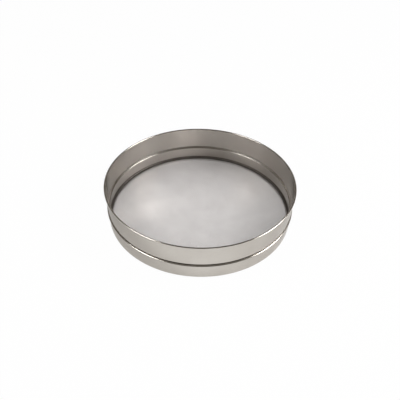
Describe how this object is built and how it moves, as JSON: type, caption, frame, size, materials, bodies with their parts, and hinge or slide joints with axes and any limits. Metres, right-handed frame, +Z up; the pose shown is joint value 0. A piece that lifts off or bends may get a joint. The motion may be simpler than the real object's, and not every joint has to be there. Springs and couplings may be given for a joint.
{
  "type": "drum sieve",
  "caption": "Round drum sieve: a stepped upper hoop with a curled rim pushed into a curled lower hoop, with a bound wire cloth held flat between them near the base.",
  "frame": {"origin": "middle of the plane that the lower hoop stands on", "axes": "+Z up along the axis of the hoops, -Y to the front of the picture, the cloth's warp wires turned 60 degrees from X"},
  "size_m": [0.3, 0.3, 0.063],
  "materials": {
    "hoop_steel": "satin stainless sheet",
    "binding_steel": "dull folded strip",
    "wire_steel": "bright drawn wire"
  },
  "bodies": {
    "lower_hoop": {"lower_hoop": "hoop_steel"},
    "cloth_insert": {"cloth_binding": "binding_steel", "edge_wire": "wire_steel", "warp_wires": "wire_steel", "weft_wires": "wire_steel"},
    "upper_hoop": {"upper_hoop": "hoop_steel"}
  },
  "joints": [
    {"name": "cloth_lift", "type": "slide", "parent": "lower_hoop", "child": "cloth_insert", "axis": [0, 0, 1], "range_m": [0, 0.03]},
    {"name": "upper_hoop_lift", "type": "slide", "parent": "cloth_insert", "child": "upper_hoop", "axis": [0, 0, 1], "range_m": [0, 0.03]}
  ]
}
